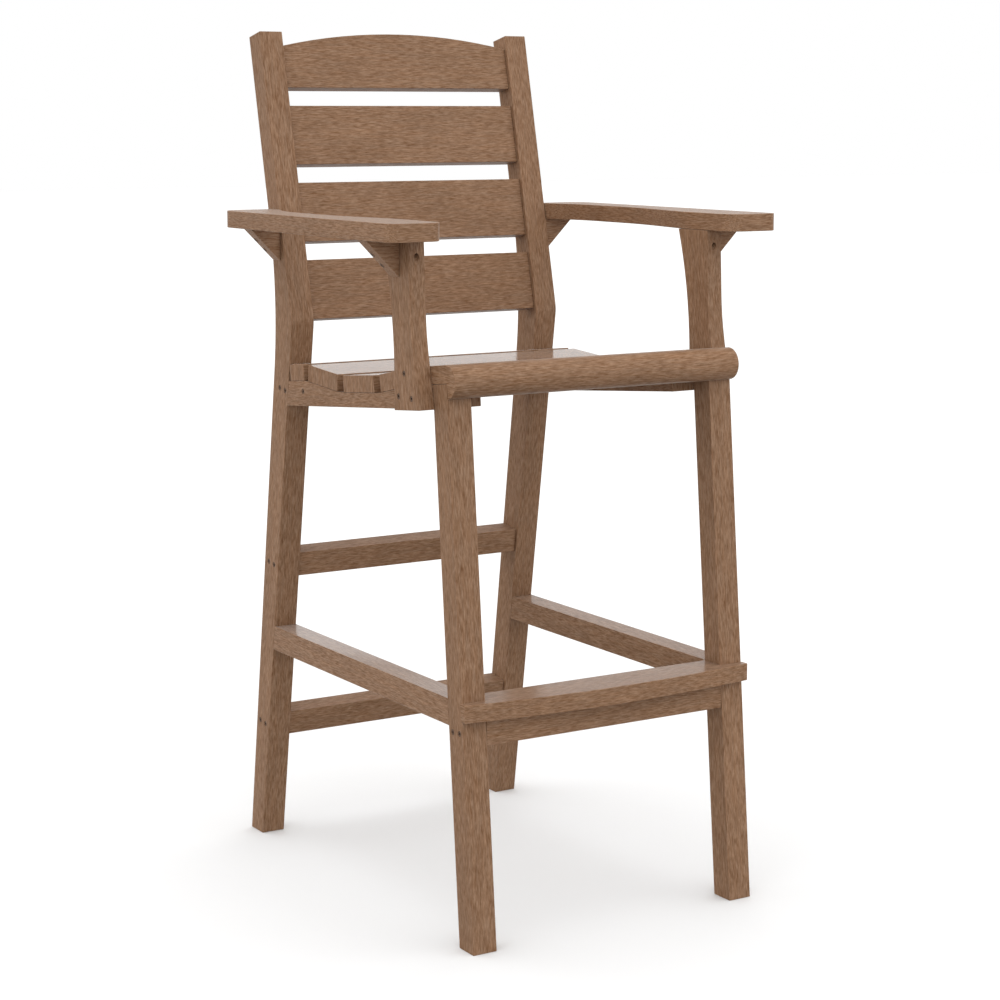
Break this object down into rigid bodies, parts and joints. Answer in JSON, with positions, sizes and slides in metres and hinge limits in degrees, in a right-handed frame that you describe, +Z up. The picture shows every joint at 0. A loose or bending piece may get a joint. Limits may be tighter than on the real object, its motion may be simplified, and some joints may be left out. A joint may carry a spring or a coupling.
{
  "type": "bar arm chair",
  "caption": "Bar-height arm chair of slatted plastic lumber with a reclined slat back, a dished seat, scooped arms, splayed legs and a bowed front footrest.",
  "frame": {"origin": "on the floor, under the middle of the chair's bounding box", "axes": "+Z up, the chair faces -Y, +X to the right as seen from the front"},
  "size_m": [0.654, 0.7061, 1.28],
  "materials": {
    "lumber": "satin wood-grain plastic lumber in brown",
    "screw": "dark coated stainless steel"
  },
  "bodies": {
    "root": {"left_rear_post": "lumber", "left_front_leg": "lumber", "left_outer_seat_rail": "lumber", "left_inner_seat_rail": "lumber", "left_side_stretcher": "lumber", "left_arm": "lumber", "left_arm_post": "lumber", "left_rear_arm_bracket": "lumber", "left_front_arm_bracket": "lumber", "right_rear_post": "lumber", "right_front_leg": "lumber", "right_outer_seat_rail": "lumber", "right_inner_seat_rail": "lumber", "right_side_stretcher": "lumber", "right_arm": "lumber", "right_arm_post": "lumber", "right_rear_arm_bracket": "lumber", "right_front_arm_bracket": "lumber", "seat_slat_1": "lumber", "seat_slat_2": "lumber", "seat_slat_3": "lumber", "seat_slat_4": "lumber", "seat_nose": "lumber", "back_slat_1": "lumber", "back_slat_2": "lumber", "back_slat_3": "lumber", "back_slat_4": "lumber", "rear_seat_rail": "lumber", "upper_rear_stretcher": "lumber", "lower_rear_stretcher": "lumber", "front_stretcher": "lumber", "footrest": "lumber", "left_rear_seat_rail_screw_1": "screw", "left_rear_seat_rail_screw_2": "screw", "left_upper_rear_stretcher_screw_1": "screw", "left_upper_rear_stretcher_screw_2": "screw", "left_lower_rear_stretcher_screw_1": "screw", "left_lower_rear_stretcher_screw_2": "screw", "left_front_stretcher_screw_1": "screw", "left_front_stretcher_screw_2": "screw", "right_rear_seat_rail_screw_1": "screw", "right_rear_seat_rail_screw_2": "screw", "right_upper_rear_stretcher_screw_1": "screw", "right_upper_rear_stretcher_screw_2": "screw", "right_lower_rear_stretcher_screw_1": "screw", "right_lower_rear_stretcher_screw_2": "screw", "right_front_stretcher_screw_1": "screw", "right_front_stretcher_screw_2": "screw", "left_seat_rail_screw": "screw", "right_seat_rail_screw": "screw", "left_arm_post_screw_1": "screw", "left_arm_post_screw_2": "screw", "left_arm_post_screw_3": "screw", "right_arm_post_screw_1": "screw", "right_arm_post_screw_2": "screw", "right_arm_post_screw_3": "screw"}
  },
  "joints": []
}
